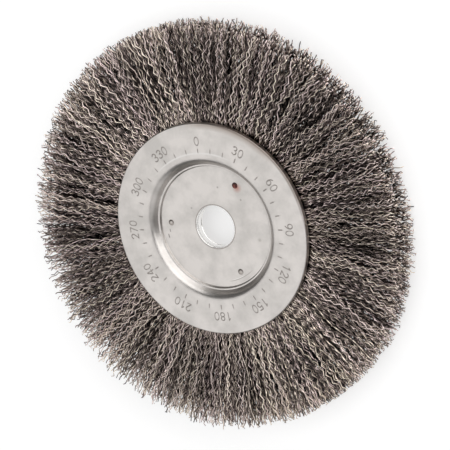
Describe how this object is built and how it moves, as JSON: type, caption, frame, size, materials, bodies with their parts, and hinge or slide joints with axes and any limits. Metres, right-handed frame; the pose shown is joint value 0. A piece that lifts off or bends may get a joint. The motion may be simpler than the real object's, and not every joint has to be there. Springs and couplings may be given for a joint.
{
  "type": "wire wheel brush",
  "caption": "Crimped wire wheel brush: a ring of crimped steel wire gripped between two dished round side plates with a plain arbor hole.",
  "frame": {"origin": "on the arbor axis, in the plane that the lowest wire tips rest on", "axes": "+Z along the arbor axis, out of the front plate; the wheel lies flat on the tips of its back wires"},
  "size_m": [0.1524, 0.1524, 0.0204],
  "materials": {
    "plate_steel": "stamped, tumbled satin",
    "rivet_steel": "staked, one end rusty",
    "hidden_steel": "mill finish",
    "crimped_wire": "oiled bare wire"
  },
  "bodies": {
    "root": {"back_side_plate": "plate_steel", "front_side_plate": "plate_steel", "hub_washer": "hidden_steel", "plate_rivet_1": "rivet_steel", "plate_rivet_2": "rivet_steel", "plate_rivet_3": "rivet_steel", "retaining_ring": "hidden_steel", "wire_hank_01": "crimped_wire", "wire_hank_02": "crimped_wire", "wire_hank_03": "crimped_wire", "wire_hank_04": "crimped_wire", "wire_hank_05": "crimped_wire", "wire_hank_06": "crimped_wire", "wire_hank_07": "crimped_wire", "wire_hank_08": "crimped_wire", "wire_hank_09": "crimped_wire", "wire_hank_10": "crimped_wire", "wire_hank_11": "crimped_wire", "wire_hank_12": "crimped_wire", "wire_hank_13": "crimped_wire", "wire_hank_14": "crimped_wire", "wire_hank_15": "crimped_wire", "wire_hank_16": "crimped_wire", "wire_hank_17": "crimped_wire", "wire_hank_18": "crimped_wire", "wire_hank_19": "crimped_wire", "wire_hank_20": "crimped_wire", "wire_hank_21": "crimped_wire", "wire_hank_22": "crimped_wire", "wire_hank_23": "crimped_wire", "wire_hank_24": "crimped_wire", "wire_hank_25": "crimped_wire", "wire_hank_26": "crimped_wire", "wire_hank_27": "crimped_wire", "wire_hank_28": "crimped_wire", "wire_hank_29": "crimped_wire", "wire_hank_30": "crimped_wire", "wire_hank_31": "crimped_wire", "wire_hank_32": "crimped_wire", "wire_hank_33": "crimped_wire", "wire_hank_34": "crimped_wire", "wire_hank_35": "crimped_wire", "wire_hank_36": "crimped_wire", "wire_hank_37": "crimped_wire", "wire_hank_38": "crimped_wire", "wire_hank_39": "crimped_wire", "wire_hank_40": "crimped_wire"}
  },
  "joints": []
}
